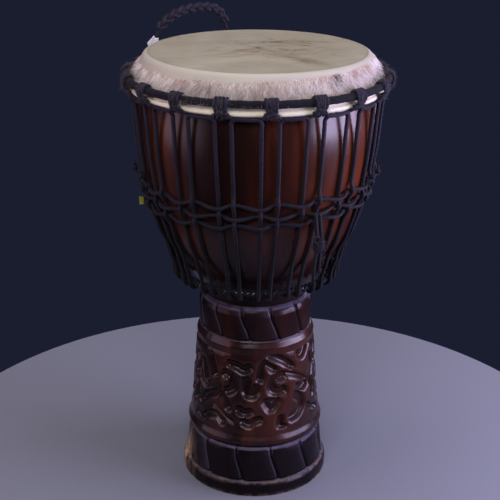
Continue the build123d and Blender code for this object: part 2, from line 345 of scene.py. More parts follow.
def lacquered_wood():
    """Mahogany-stained wood under gloss lacquer: red-brown to near black, worn bare in places."""
    m, nt, shader = material("lacquered_wood")
    grain = noise_node(nt, 26, 8, 0.62, (1, 1, 0.09), 0.4)
    figure = noise_node(nt, 12, 5, 0.55, (1, 1, 0.10), 0.5)
    red = ramp(nt, figure, [
        (0.38, (0.011, 0.0036, 0.0028)), (0.5, (0.031, 0.0074, 0.0040)), (0.66, (0.115, 0.0250, 0.0085)),
    ])
    lined = mix(nt, value_map(nt, grain, 0.42, 0.62, 0.0, 0.6), red, (0.020, 0.0058, 0.0042))
    black = ramp(nt, grain, [(0.35, (0.0036, 0.0030, 0.0044)), (0.7, (0.0090, 0.0062, 0.0085))])
    stain, dust = attribute(nt, "stain"), attribute(nt, "dust")
    base = mix(nt, stain, black, lined)
    # Painted shade: the carved grounds and block grooves darkened almost to black.
    base = mix(nt, attribute(nt, "recess_shade"), base, (0.0050, 0.0030, 0.0032))
    # dust attribute: a pale lavender that is partly real dust and partly a painted highlight on ledges and
    # groove edges
    base = mix(nt, dust, base, (0.125, 0.105, 0.155))
    stops = [(0.3, (0.16, 0.095, 0.045)), (0.55, (0.42, 0.29, 0.17)), (0.75, (0.62, 0.48, 0.31))]
    bare = ramp(nt, grain, stops)
    broken = value_map(nt, noise_node(nt, 60, 6, 0.7, (1, 1, 0.25), 0.6), 0.42, 0.56)
    worn = math_node(nt, "MULTIPLY", attribute(nt, "wear"), broken)
    nt.links.new(mix(nt, worn, base, bare), shader.inputs["Base Color"])
    smears = noise_node(nt, 14, 5, 0.6, (1, 1, 0.4), 0.5)
    rough = mix(nt, worn, value_map(nt, smears, 0.3, 0.75, 0.2, 0.42), (0.75, 0.75, 0.75))
    rough = mix(nt, dust, rough, (0.5, 0.5, 0.5))
    nt.links.new(rough, shader.inputs["Roughness"])
    shader.inputs["Coat Weight"].default_value = 0.06
    shader.inputs["Coat Roughness"].default_value = 0.14
    nt.links.new(value_map(nt, stain, 0.15, 0.85, 0.07, 0.37), shader.inputs["Specular IOR Level"])
    bump(nt, shader, grain, 0.12, 0.0006)
    return m


def black_rope(name="black_rope", dark=(0.0048, 0.0040, 0.0072), light=(0.0180, 0.0145, 0.0290)):
    """Braided synthetic rope, with painted shade that darkens it lower down on the drum."""
    m, nt, shader = material(name)
    fibre = noise_node(nt, 900, 4, 0.6)
    dust = noise_node(nt, 45, 6, 0.65, (1, 1, 0.6))
    tone = mix(nt, value_map(nt, dust, 0.35, 0.75), dark, light)
    # Fine flecks up to 1.9 times the light tone along the fibres: partly painted sheen.
    tone = mix(nt, value_map(nt, fibre, 0.35, 0.7, 0.0, 0.6), tone, tuple(1.9 * c for c in light))
    place = nt.nodes.new("ShaderNodeTexCoord")
    height = nt.nodes.new("ShaderNodeSeparateXYZ")
    nt.links.new(place.outputs["Object"], height.inputs[0])
    # Painted shade: lower on the bowl the rope is darkened, where its lower half faces away from the overhead
    # light.
    painted_low_shade = tuple(0.45 * c for c in dark)
    tone = mix(nt, value_map(nt, height.outputs["Z"], 0.36, 0.53, 0.12, 1.0), painted_low_shade, tone)
    nt.links.new(tone, shader.inputs["Base Color"])
    nt.links.new(value_map(nt, fibre, 0.3, 0.7, 0.55, 0.8), shader.inputs["Roughness"])
    shader.inputs["Specular IOR Level"].default_value = 0.22
    shader.inputs["Sheen Weight"].default_value = 0.05
    shader.inputs["Sheen Roughness"].default_value = 0.4
    bump(nt, shader, fibre, 0.5, 0.0004)
    return m


def black_cloth():
    """Matte woven strip wound round the hoop."""
    m, nt, shader = material("black_cloth")
    tc = nt.nodes.new("ShaderNodeTexCoord")
    waves = []
    for axis in ("X", "Z"):
        w = nt.nodes.new("ShaderNodeTexWave")
        w.bands_direction = axis
        w.inputs["Scale"].default_value = 420
        w.inputs["Distortion"].default_value = 0.6
        nt.links.new(tc.outputs["Object"], w.inputs["Vector"])
        waves.append(w.outputs["Fac"])
    lint = noise_node(nt, 70, 7, 0.7)
    tone = ramp(nt, lint, [
        (0.35, (0.0036, 0.0032, 0.0062)), (0.6, (0.0070, 0.0060, 0.0120)), (0.8, (0.025, 0.021, 0.032)),
    ])
    nt.links.new(tone, shader.inputs["Base Color"])
    shader.inputs["Roughness"].default_value = 0.82
    shader.inputs["Specular IOR Level"].default_value = 0.2
    shader.inputs["Sheen Weight"].default_value = 0.03
    bump(nt, shader, math_node(nt, "MULTIPLY", *waves), 0.5, 0.0003)
    return m


def fibre_hair(name, tips, roots):
    """Fine strands whose colour runs from root to tip, each a little different."""
    m, nt, shader = material(name)
    patch = value_map(nt, noise_node(nt, 28, 4, 0.6), 0.4, 0.65, -0.25, 0.3)
    patchy = math_node(nt, "ADD", attribute(nt, "tone"), patch)
    nt.links.new(mix(nt, patchy, roots, tips), shader.inputs["Base Color"])
    shader.inputs["Roughness"].default_value = 0.55
    return m


def goatskin():
    """Shaved rawhide: a greenish-beige head with brown marbling, a cream rim and a tan flank."""
    m, nt, shader = material("goatskin")
    cloud = noise_node(nt, 9, 7, 0.6, (1, 1, 1), 0.4)
    fine = noise_node(nt, 90, 6, 0.65)
    vein = noise_node(nt, 17, 10, 0.76, (1.0, 1.7, 1), 1.6)
    base = ramp(nt, cloud, [
        (0.3, (0.36, 0.315, 0.235)), (0.55, (0.43, 0.385, 0.30)), (0.75, (0.50, 0.46, 0.375)),
    ])
    base = mix(nt, value_map(nt, fine, 0.35, 0.7, 0.0, 0.22), base, (0.30, 0.25, 0.17))
    speckle = math_node(nt, "MULTIPLY", attribute(nt, "stain"), value_map(nt, vein, 0.47, 0.57))
    base = mix(nt, speckle, base, (0.20, 0.125, 0.070))
    smear = math_node(nt, "MULTIPLY", attribute(nt, "smear"), value_map(nt, vein, 0.32, 0.62, 0.35, 1.0))
    base = mix(nt, smear, base, (0.195, 0.155, 0.105))
    # The roll under the crown hoop is painted far paler than the rim: painted light against the hoop's shade.
    for name, colour in (
        ("rim", (0.49, 0.45, 0.375)), ("roll", (0.92, 0.84, 0.64)), ("flank", (0.45, 0.305, 0.24)),
        ("scar", (0.055, 0.038, 0.028)),
    ):
        base = mix(nt, attribute(nt, name), base, colour)
    nt.links.new(base, shader.inputs["Base Color"])
    nt.links.new(value_map(nt, cloud, 0.3, 0.7, 0.42, 0.62), shader.inputs["Roughness"])
    shader.inputs["Subsurface Weight"].default_value = 0.06
    shader.inputs["Subsurface Radius"].default_value = (0.004, 0.002, 0.001)
    shader.inputs["Subsurface Scale"].default_value = 1.0
    bump(nt, shader, fine, 0.18, 0.0006)
    return m


def tape(name, colour):
    """Blank adhesive tape, slightly creased."""
    m, nt, shader = material(name)
    crease = noise_node(nt, 160, 5, 0.6)
    shade = tuple(0.72 * c for c in colour)
    tone = mix(nt, value_map(nt, crease, 0.3, 0.75, 0.0, 0.8), colour, shade)
    nt.links.new(tone, shader.inputs["Base Color"])
    shader.inputs["Roughness"].default_value = 0.5
    bump(nt, shader, crease, 0.35, 0.0008)
    return m


def plain_steel():
    """Drawn steel wire of the hoops."""
    m, nt, shader = material("hoop_steel")
    brush = noise_node(nt, 300, 4, 0.6, (1, 1, 6))
    tone = ramp(nt, brush, [(0.3, (0.34, 0.34, 0.35)), (0.7, (0.55, 0.55, 0.57))])
    nt.links.new(tone, shader.inputs["Base Color"])
    shader.inputs["Metallic"].default_value = 1.0
    nt.links.new(value_map(nt, brush, 0.3, 0.7, 0.3, 0.5), shader.inputs["Roughness"])
    return m


WOOD = lacquered_wood()
ROPE = black_rope()
# Loose fibres of the knots painted far paler than the rope: partly painted sheen of the fuzzy knots.
FUZZ_AND_SHEEN = black_rope("rope_fuzz_and_sheen", (0.035, 0.030, 0.038), (0.13, 0.112, 0.13))
CLOTH = black_cloth()
SKIN = goatskin()
HAIR = fibre_hair("goat_hair", (0.99, 0.95, 0.93), (0.42, 0.25, 0.19))
WHITE_HAIR = fibre_hair("white_hair", (0.90, 0.86, 0.86), (0.62, 0.44, 0.38))
TAN_HAIR = fibre_hair("tan_hair", (0.80, 0.56, 0.38), (0.34, 0.19, 0.12))
DARK_HAIR = fibre_hair("dark_hair", (0.16, 0.10, 0.07), (0.05, 0.035, 0.03))
WHITE_TAPE = tape("white_tape", (0.90, 0.89, 0.96))
YELLOW_TAPE = tape("yellow_tape", (0.27, 0.29, 0.030))
STEEL = plain_steel()


def paint(ob, name, values):
    """A named number per vertex, for a material to read."""
    layer = ob.data.attributes.new(name, "FLOAT", "POINT")
    layer.data.foreach_set("value", np.asarray(values, float).ravel())


# ---------------------------------------------------------------- shell
STEM = (
    (0.1004, 0.0), (0.1019, 0.0015), (0.1020, 0.0155), (0.0985, 0.0215), (0.0974, 0.0235), (0.0945, 0.060),
    (0.0925, 0.0665), (0.0898, 0.070), (0.0902, 0.0735), (0.0944, 0.0765), (0.0950, 0.0812), (0.0912, 0.0885),
    (0.0906, 0.092), (0.0906, 0.097), (0.0892, 0.113), (0.0876, 0.130), (0.0843, 0.170), (0.0822, 0.199),
    (0.0808, 0.2045), (0.0800, 0.2058), (0.0808, 0.2072), (0.0812, 0.215), (0.0776, 0.2222), (0.0772, 0.2245),
    (0.0780, 0.260), (0.0765, 0.265), (0.0738, 0.2703), (0.0705, 0.272), (0.0702, 0.276),
)
COLUMNS = 600
BLOCKS = 12
ROW_STEP = 0.00085
# block bands: first groove, its lean, bottom, top, radius, in degrees and millimetres
BLOCK_BANDS = ((-14.7, 9.8, 224.5, 271.0, 78), (-16.0, 6.3, 21.5, 70.0, 95))
GROOVE_DEPTH, CORNER = 3.3, 4.0
SCROLL_LOW, SCROLL_HIGH = 95.0, 206.0
# sunk grounds of the scroll band on one half of the drum: half width in mm, then angle and height along each
HOLLOWS = (
    (4.6, ((-25, 190), (-17, 188), (-11, 184), (-6, 187))),
    (4.4, ((9, 193), (6, 184), (5, 172))),
    (3.6, ((12, 190), (19, 183))),
    (5.3, ((-8, 167), (-8, 153), (-4, 149), (0, 151), (1, 157))),
    (4.9, ((-29, 175), (-24, 172), (-21, 164), (-22, 155), (-27, 150))),
    (4.0, ((-32, 142), (-28, 134), (-25, 127))),
    (1.7, ((-61, 100), (-51, 113), (-42, 124), (-35, 121), (-29, 115), (-21, 107))),
    (3.9, ((-54, 101), (-46, 108), (-38, 111), (-31, 104))),
    (3.7, ((-57, 124), (-52, 133), (-45, 139), (-38, 145), (-36, 154))),
    (1.6, ((-62, 151), (-53, 146), (-45, 148), (-40, 157), (-37, 164))),
    (3.2, ((-58, 182), (-54, 170), (-50, 158))),
    (2.9, ((-46, 191), (-43, 180), (-40, 170))),
    (4.5, ((-14, 125), (-10, 121), (-5, 123))),
    (3.9, ((-10, 108), (-5, 105), (-1, 109), (4, 112))),
    (5.1, ((28, 173), (20, 171), (16, 163), (17, 154), (22, 150), (27, 152))),
    (4.3, ((10, 137), (15, 127), (21, 137))),
    (3.6, ((14, 138), (18, 138))),
    (4.4, ((42, 140), (48, 131), (47, 120), (41, 111), (35, 109))),
    (3.5, ((24, 111), (23, 103), (26, 98))),
    (3.8, ((44, 151), (51, 146), (56, 149))),
    (4.0, ((15, 204), (23, 199), (31, 192), (37, 184))),
    (2.6, ((31, 175), (40, 170), (49, 163), (57, 155))),
    (4.2, ((61, 209), (57, 200), (52, 194), (47, 198))),
    (3.3, ((66, 186), (70, 173), (66, 160))),
    (3.5, ((63, 151), (68, 141), (66, 128))),
    (3.2, ((57, 116), (64, 108), (72, 103))),
    (3.2, ((-70, 184), (-66, 172), (-70, 160))),
    (3.2, ((-69, 146), (-66, 134), (-68, 120))),
    (3.6, ((84, 192), (78, 180), (80, 168), (88, 164))),
    (3.6, ((78, 146), (86, 140), (90, 128))),
    (3.4, ((-84, 186), (-79, 174), (-84, 164))),
    (3.8, ((-82, 148), (-78, 134), (-84, 124))),
    (3.4, ((80, 116), (88, 108), (98, 112))),
)


def groove_angle(first, lean, t):
    """Where a block groove runs, t from 0 at the top to 1 at the bottom."""
    return first + lean * (0.4 * t + 0.6 * smooth(t, 0.2, 1.0))


def block_relief(theta, z):
    """Depth in mm that the block bands are cut below the turned surface, and a mask of the bands."""
    cut = np.zeros_like(theta)
    band_mask = np.zeros_like(theta)
    pitch = 360.0 / BLOCKS
    for k, (first, lean, low, high, radius) in enumerate(BLOCK_BANDS):
        g = np.random.default_rng(40 + k)
        top_offset, face_offset = g.uniform(-1.6, 0.6, BLOCKS), g.uniform(0.0, 0.9, BLOCKS)
        t = np.clip((high - z) / (high - low), 0, 1)
        turn = (theta - groove_angle(first, lean, t)) / pitch
        index = np.floor(turn).astype(int) % BLOCKS
        across = (turn - np.floor(turn) - 0.5) * math.radians(pitch) * radius
        half = math.radians(pitch) / 2 * radius - 0.9
        top = high - 0.6 + top_offset[index]
        middle, tall = (top + low) / 2, (top - low) / 2
        dx = np.abs(across) - (half - CORNER)
        dz = np.abs(z - middle) - (tall - CORNER)
        outside = np.hypot(np.maximum(dx, 0), np.maximum(dz, 0)) + np.minimum(np.maximum(dx, dz), 0) - CORNER
        edge = smooth(outside, -2.6, 1.0)
        tilt = 0.55 * (across / half) + 0.35 * (across / half) ** 2
        face = face_offset[index] * 0.6 + tilt * 0.6 + 0.3
        inside = (z > low - 1) & (z < high + 1)
        cut += np.where(inside, edge * GROOVE_DEPTH + (1 - edge) * face, 0)
        band_mask = np.maximum(band_mask, smooth(z, low - 1.5, low) * (1 - smooth(z, high + 3, high + 5)))
    return cut, band_mask


def scroll_relief(theta, z):
    """Depth in mm of the carved grounds in the scroll band, and the distance in mm to the nearest ground."""
    depth = np.zeros_like(theta)
    near = np.full_like(theta, 50.0)
    rows = (z[:, 0] > SCROLL_LOW - 2) & (z[:, 0] < SCROLL_HIGH + 2)
    th, zz = theta[rows], z[rows]
    best = np.full_like(th, 50.0)
    deep = np.zeros_like(th)
    mm_per_degree = math.radians(86.0)
    for half_width, points in HOLLOWS:
        line = curve(points, 14) if len(points) > 2 else np.array(points, float)
        for turn in (0.0, 180.0):
            for (a0, h0), (a1, h1) in zip(line, line[1:]):
                dx = ((th - a0 - turn + 180) % 360 - 180) * mm_per_degree
                ex, ez = (a1 - a0) * mm_per_degree, h1 - h0
                dz = zz - h0
                t = np.clip((dx * ex + dz * ez) / (ex * ex + ez * ez), 0, 1)
                d = np.hypot(dx - t * ex, dz - t * ez) - half_width * 1.22
                best = np.minimum(best, d)
                deep = np.maximum(deep, min(4.8, 1.5 * half_width) / (1 + np.exp(d / 0.85 + 0.6)))
    depth[rows] = deep
    near[rows] = best
    return depth, near


def stem_profile():
    """The turned outside of the foot and stem in fine steps, its corners a little rounded."""
    stem = np.array(STEM)
    heights = np.arange(0.0008, 0.2752, ROW_STEP)
    radius = np.interp(heights, stem[:, 1], stem[:, 0])
    kernel = np.exp(-0.5 * (np.arange(-3, 4) / 0.9) ** 2)
    rounded = np.convolve(np.pad(radius, 3, mode="edge"), kernel / kernel.sum(), "valid")
    return np.stack([rounded, heights], -1)


def shell():
    """The goblet: turned outside with carved bands, bowl, bearing edge and bored inside, one closed mesh."""
    foot_line = np.array([(0.0875, 0.0002), (0.094, 0.0001), (0.0990, 0.0002), (0.1008, 0.0005)])
    stem_line, bowl_line = stem_profile(), curve(BOWL, 70)
    line = np.vstack([foot_line, stem_line, bowl_line, curve(INSIDE, 44)[1:]])
    stem = slice(len(foot_line), len(foot_line) + len(stem_line))
    bowl = slice(stem.stop, stem.stop + len(bowl_line))
    angles = np.linspace(0, 360, COLUMNS, endpoint=False)
    theta, z = np.meshgrid((angles + 180) % 360 - 180, line[:, 1] * 1000)
    points = polar(line[:, :1], theta, z / 1000)
    cut, bands = block_relief(theta[stem], z[stem])
    grounds, near = scroll_relief(theta[stem], z[stem])
    above, below = smooth(z[stem], SCROLL_LOW, SCROLL_LOW + 2), smooth(z[stem], SCROLL_HIGH - 3, SCROLL_HIGH)
    in_scroll = above * (1 - below)
    grounds *= in_scroll
    shoulders = 1.7 * np.exp(-((np.maximum(near, 0) / 3.2) ** 2)) * (near < 12) * in_scroll
    tool_marks = noise(points[stem], 0.016, 3) * 0.22
    worn = np.exp(-(((theta[stem] + 84) / 19) ** 2)) * np.exp(-(((z[stem] - 26) / 28) ** 2))
    chips = worn * np.maximum(noise(points[stem] * [1, 1, 0.25], 0.006, 5), -0.2) * 1.1
    radius = np.repeat(line[:, :1], COLUMNS, 1)
    radius[stem] -= (cut + grounds + shoulders + chips + 0.25 + tool_marks) / 1000
    radius[bowl] += noise(points[bowl], 0.09, 8) * 0.0003 * (line[bowl, 1:] < 0.55)
    geometry = polar(radius, theta, z / 1000), grid_faces(len(line), COLUMNS, True, True)
    ob = piece("carved_shell", geometry, WOOD, "drum", "shell")
    paint_shell(ob, theta, z, stem, bowl, cut, bands, grounds, tool_marks, worn)


def paint_shell(ob, theta, z, stem, bowl, cut, bands, grounds, tool_marks, worn):
    """Where the shell is red or black, darkened in its recesses as painted shade, dusty and pale on its ledges
    and groove edges, partly as painted highlight, and worn.
    """
    stain = np.ones_like(theta)
    recess_shade, wear, dust = np.zeros_like(theta), np.zeros_like(theta), np.zeros_like(theta)
    foot_ring = (z[stem] < 24).astype(float)
    reds = np.clip(0.58 - 0.54 * np.maximum(bands, foot_ring), 0, 1)
    stain[stem] = np.where(z[stem] > 220, np.maximum(reds, 0.22), reds)
    # The bowl is painted darker towards its bottom.
    stain[bowl] = smooth(z[bowl], 300, 450) * 0.85 + 0.15
    stain[bowl.stop:] = 0.15
    # Painted shade in the carved grounds and the block grooves.
    recess_shade[stem] = np.clip(grounds / 4.6, 0, 1) * 0.62 + np.clip((cut - 1.0) / 1.6, 0, 1) * 0.8
    foot_edge = np.exp(-((z[stem] / 3.0) ** 2)) * 0.40
    ledge = np.exp(-(((z[stem] - 19.5) / 1.2) ** 2)) * 0.30
    wear[stem] = np.clip(worn * 1.15 + foot_edge + ledge, 0, 1)
    wear[bowl.stop:] = 0.35
    normals = np.empty(theta.size * 3, np.float32)
    ob.data.vertices.foreach_get("normal", normals)
    lean = normals.reshape(*theta.shape, 3)[stem, :, 2]
    # Partly real dust, partly painted highlight: upward-facing ledges painted pale where the overhead light
    # would catch them, and a painted glint along the block groove edges.
    ledge_dust_and_highlight = smooth(lean, 0.42, 0.88) * (0.60 + 0.25 * tool_marks / 0.22)
    painted_block_edge_glints = np.exp(-(((cut - 1.5) / 0.45) ** 2)) * bands * smooth(lean, -0.2, 0.3)
    dust[stem] = ledge_dust_and_highlight * (1 - 0.92 * np.clip(grounds / 0.8, 0, 1)) + 0.55 * painted_block_edge_glints
    for name, values in (("dust", dust), ("stain", stain), ("recess_shade", recess_shade), ("wear", wear)):
        paint(ob, name, np.clip(values, 0, 1))


SHELL_LINE = np.array(BOWL[1:-3])


def shell_radius(height):
    """Outside radius of the bowl at a height."""
    return np.interp(height, SHELL_LINE[:, 1], SHELL_LINE[:, 0])


# ---------------------------------------------------------------- skin and hair
FLANK_SLOPE = math.radians(24)      # the pulled-down skin, from vertical
FLANK_OUT = np.array([math.cos(FLANK_SLOPE), math.sin(FLANK_SLOPE)])
FLANK_DOWN = np.array([math.sin(FLANK_SLOPE), -math.cos(FLANK_SLOPE)])


def skin_profile():
    """(radius, height) down the outside of the skin, from its centre to the end of its roll."""
    bend = 0.010
    turn = math.pi / 2 - FLANK_SLOPE
    reach = bend * math.tan(turn / 2)
    touch = np.array([FLESH_R, FLESH_Z]) + FLANK_OUT * FLESH_FOLD
    corner = touch - FLANK_DOWN * ((HEAD_Z - touch[1]) / math.cos(FLANK_SLOPE))
    end = corner[0] - reach
    flat = [(r, HEAD_Z) for r in (*np.linspace(0.0004, end - 0.004, 34), *np.linspace(end - 0.003, end, 4))]
    turns = np.linspace(0, turn, 12)[1:]
    arc = [(end + bend * math.sin(a), HEAD_Z - bend * (1 - math.cos(a))) for a in turns]
    cone = [corner + FLANK_DOWN * d for d in np.linspace(reach, np.linalg.norm(touch - corner), 22)[1:]]
    a = np.radians(np.linspace(24, -200, 34)[1:])
    full = 0.0028 * np.exp(-(((np.degrees(a) + 20) / 45) ** 2))
    rolled = (FLESH_FOLD + full) * np.cos(a), (FLESH_FOLD + full * 0.4) * np.sin(a)
    return np.vstack([flat, arc, cone, np.stack(rolled, -1) + [FLESH_R, FLESH_Z]])


def hair_line(angle):
    """Height where the shaving of the head ends and the hair begins."""
    return 0.5917 + 0.0045 * np.sin(np.radians(angle)) + 0.0008 * np.sin(np.radians(angle) * 13 + 1.0)


def blot(x, y, middle, angle, long, wide):
    """A soft oval patch on the head, 1 at its middle."""
    c, k = math.cos(math.radians(angle)), math.sin(math.radians(angle))
    dx, dy = x - middle[0], y - middle[1]
    return np.exp(-(((dx * c + dy * k) / long) ** 2) - ((dy * c - dx * k) / wide) ** 2)


def drum_head():
    """Stretched goatskin: flat, rounded over the bearing edge, coned and rolled round its hoop."""
    thick, columns = 0.0011, 300
    line = skin_profile()
    normal = np.gradient(line, axis=0)
    normal = np.stack([-normal[:, 1], normal[:, 0]], -1) / np.linalg.norm(normal, axis=1, keepdims=True)
    inner = (line - normal * thick)[::-1]
    inner[:, 0] = np.maximum(inner[:, 0], 0.0002)
    both = np.vstack([line, inner])
    rows = len(both)
    theta = np.broadcast_to(np.linspace(0, 360, columns, endpoint=False), (rows, columns))
    radius, height = np.repeat(both[:, :1], columns, 1), np.repeat(both[:, 1:], columns, 1)
    points = polar(radius, theta, height)
    outside = np.arange(rows)[:, None] < len(line)
    on_cone = smooth(-height, -0.590, -0.575) * outside
    lumps = noise(points, 0.05, 21) * 0.5 + noise(points, 0.014, 22) * 0.35
    rolled = (height < FLESH_Z + 0.004) & outside
    radius = radius + np.where(rolled, lumps * 0.0005, on_cone * lumps * 0.0006)
    flat = outside & (radius < 0.140)
    height = height + np.where(flat, noise(points, 0.12, 23) * 0.00018 - 0.0002, 0)
    verts = polar(radius, theta, height).reshape(-1, 3)
    verts = np.vstack([verts, (0, 0, line[0, 1] - 0.0002), (0, 0, inner[-1, 1])])
    faces = grid_faces(rows, columns, True, False)[:, ::-1].tolist()
    total, base = rows * columns, (rows - 1) * columns
    for c in range(columns):
        after = (c + 1) % columns
        faces.append([c, after, total])
        faces.append([base + after, base + c, total + 1])
    ob = piece("goatskin_head", (verts, faces), SKIN, "drum", "drum_skin")
    paint_skin(ob, *verts.T)
    return ob


def paint_skin(ob, x, y, z):
    """Marbling, smears and scars of the head, its cream rim, its tan flank, and the roll below painted pale as
    painted light against the crown hoop's shade.
    """
    r = np.hypot(x, y)
    angle = np.degrees(np.arctan2(x, -y))
    top = smooth(z, 0.5975, 0.5995)
    blotches = blot(x, y, (0.038, 0.050), -8, 0.036, 0.016) * 1.7
    blotches += blot(x, y, (0.012, 0.005), 0, 0.065, 0.045) * 0.5
    smears = sum(strength * blot(x, y, *place) for strength, place in (
        (0.90, ((0.046, -0.050), -51, 0.052, 0.010)), (0.60, ((0.070, -0.078), -51, 0.030, 0.016)),
        (0.72, ((-0.022, -0.009), 44, 0.026, 0.004)), (0.66, ((0.036, 0.052), -5, 0.024, 0.008)),
        (0.50, ((0.004, 0.006), -40, 0.014, 0.006)),
    ))
    under_line = smooth(hair_line(angle) - z, -0.0010, 0.0035)
    dark_patch = np.exp(-(((angle - 39) / 2.2) ** 2)) * smooth(-z, -0.5955, -0.5925) * (z > 0.578)
    ring = np.exp(-(((r - 0.1395) / 0.0009) ** 2)) * 0.34
    scars = sum(strength * blot(x, y, *place) for strength, place in (
        (0.80, ((0.0, 0.012), 10, 0.0035, 0.0050)), (0.35, ((-0.020, -0.008), 44, 0.018, 0.0012)),
        (0.40, ((0.012, -0.004), -35, 0.018, 0.0016)),
    ))
    paint(ob, "stain", np.clip(1.35 * blotches + 0.14, 0, 1) * top)
    paint(ob, "smear", np.clip(smears, 0, 1) * top)
    paint(ob, "rim", smooth(r, 0.1385, 0.1415) * (1 - under_line) * 0.9)
    # Painted light: the roll under the crown hoop painted pale against the hoop's shade.
    paint(ob, "roll", 0.95 * smooth(-z, -0.566, -0.563))
    paint(ob, "flank", under_line * smooth(z, 0.563, 0.566) * 0.85)
    paint(ob, "scar", np.clip((ring + scars) * top + dark_patch * 0.85, 0, 1))


# hair in its layers: name, strands, heights of the roots, lengths, lift off the skin, droop, look,
# darkest and palest tone, then the angle it centres on and its spread, and how far strands lean sideways
FUR = (
    ("fur_collar", 11000, (0.5700, 0.600), (0.0055, 0.0100), 0.22, 0.10, HAIR, 0.15, 0.85, {}),
    ("fur_long", 4200, (0.5740, 0.594), (0.009, 0.016), 0.55, 0.25, HAIR, 0.4, 1.0,
     {"side": 0.75, "width": 0.00018}),
    ("fur_tan_front", 900, (0.5705, 0.588), (0.006, 0.012), 0.42, 0.20, TAN_HAIR, 0.1, 1.0,
     {"centre": -38, "spread": 24, "side": 0.6}),
    ("fur_tan_around", 1300, (0.5705, 0.584), (0.005, 0.010), 0.40, 0.20, TAN_HAIR, 0.1, 1.0, {"side": 0.6}),
    ("fur_wisps", 1500, (0.5720, 0.592), (0.010, 0.018), 0.70, 0.30, WHITE_HAIR, 0.5, 1.0,
     {"side": 0.9, "width": 0.00016}),
    ("fur_stray_front", 120, (0.577, 0.587), (0.018, 0.028), 1.5, 0.60, DARK_HAIR, 0.2, 1.0,
     {"centre": -20, "spread": 11}),
    ("fur_stray_white", 260, (0.577, 0.587), (0.018, 0.028), 1.5, 0.60, WHITE_HAIR, 0.3, 1.0,
     {"centre": -19, "spread": 12}),
    ("fur_stray_left", 300, (0.565, 0.584), (0.014, 0.026), 0.90, 0.10, DARK_HAIR, 0.0, 1.0,
     {"centre": -84, "spread": 13}),
    ("fur_stray_right", 130, (0.568, 0.587), (0.012, 0.024), 0.85, 0.05, DARK_HAIR, 0.0, 1.0,
     {"centre": 76, "spread": 10}),
    ("fur_brown_patch", 420, (0.5830, 0.5935), (0.005, 0.009), 0.15, 0.05, DARK_HAIR, 0.3, 1.0,
     {"centre": 39, "spread": 1.5}),
)


def grow(name, count, reach, long, lift, drop, look, tones, centre=None, spread=0.0, side=0.34, width=0.00014):
    """One layer of hair on the flank of the skin, all round or about one angle."""
    joints = 4
    flank = skin_profile()
    flank = flank[(flank[:, 1] < HEAD_Z - 0.0002) & (flank[:, 1] > FLESH_Z)]
    theta = rng.uniform(-180, 180, count) if centre is None else rng.normal(centre, spread, count)
    top = np.minimum(hair_line(theta) + rng.normal(0, 0.0007, count), reach[1])
    height = reach[0] + (top - reach[0]) * rng.uniform(0, 1, count)
    roots = polar(np.interp(-height, -flank[:, 1], flank[:, 0]), theta, height)
    outward, along = polar(1.0, theta, 0.0), polar(1.0, theta + 90, 0.0)
    clump = noise(roots, 0.009, 31)[:, None] * 0.75 + noise(roots, 0.04, 32)[:, None] * 0.65
    fall = outward * FLANK_DOWN[0] + UP * FLANK_DOWN[1]
    away = outward * FLANK_OUT[0] + UP * FLANK_OUT[1]
    way = fall + away * (lift + rng.normal(0, 0.10, (count, 1)))
    way += along * (clump + rng.normal(0, side, (count, 1)))
    lengths = rng.uniform(*long, count)
    if look is HAIR:
        lengths = np.minimum(lengths, (height - 0.5650) * 1.15)
    strands = hairs(roots, way, lengths, width, droop=drop, wave=rng.normal(0, 0.10, count), joints=joints)
    ob = piece(name, strands, look, "drum")
    root_to_tip = np.tile([*np.repeat(np.arange(joints) / joints, 3), 1.0], count)
    patchy = 0.30 * noise(roots, 0.022, 33) + 0.48 * noise(roots, 0.0055, 34)
    own = np.repeat(rng.uniform(*tones, count) + patchy, joints * 3 + 1)
    paint(ob, "tone", np.clip(own + 0.3 * root_to_tip, 0, 1))
    return ob


def fur():
    """The collar of hair left on the flank of the skin, and longer strays that fall over the crown hoop."""
    return [grow(*layer[:7], layer[7:9], **layer[9]) for layer in FUR]


# ---------------------------------------------------------------- hoops
def steel_cores():
    """The CAD's plain hoops stay, inside their coverings."""
    for name in ("flesh_ring", "crown_ring_core", "bottom_ring_core"):
        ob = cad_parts[name]
        ob.data.materials.clear()
        ob.data.materials.append(STEEL)


def crown_cloth():
    """Cloth strip wound round the crown hoop."""
    columns, sides, laps, lap_height = 720, 26, 58, 0.00044
    theta = np.linspace(0, 360, columns, endpoint=False)[:, None]
    phi = np.linspace(0, 2 * math.pi, sides, endpoint=False)[None, :]
    wind = (theta / 360 * laps + phi / (2 * math.pi)) % 1
    lap = np.where(wind < 0.12, wind / 0.12, 1 - (wind - 0.12) / 0.88) * lap_height
    wrinkle = noise(polar(CROWN_R + 0.004 * np.cos(phi), theta, CROWN_Z + 0.004 * np.sin(phi)), 0.006, 51)
    r = CROWN_WRAP - 0.00035 + lap + wrinkle * 0.00012
    verts = polar(CROWN_R + np.cos(phi) * r, theta, CROWN_Z + np.sin(phi) * r)
    geometry = verts, grid_faces(columns, sides, True, True)
    piece("crown_cloth", geometry, CLOTH, "drum", "crown_ring_wrap")


def bottom_rope():
    """Two rope strands twisted together round the bottom hoop, with frayed fibres."""
    theta = np.linspace(0, 360, 900, endpoint=False)
    parts = []
    wander = noise(polar(BOTTOM_R, theta, BOTTOM_Z), 0.05, 61)
    twists, strand, reach = 44, 0.0027, 0.0024
    for phase in (0.0, math.pi):
        turn = np.radians(theta) * twists + phase
        height = BOTTOM_Z + reach * np.sin(turn) + 0.0006 * wander
        line = polar(BOTTOM_R + reach * np.cos(turn), theta, height)
        parts.append(tube(line, strand, 10, closed=True, relief=three_strand(0.0065, 0.10)))
        parts.append(fuzz(line, strand, 900, 0.0032))
    piece("bottom_rope_ring", join(*parts), ROPE, "drum", "bottom_ring_wrap")


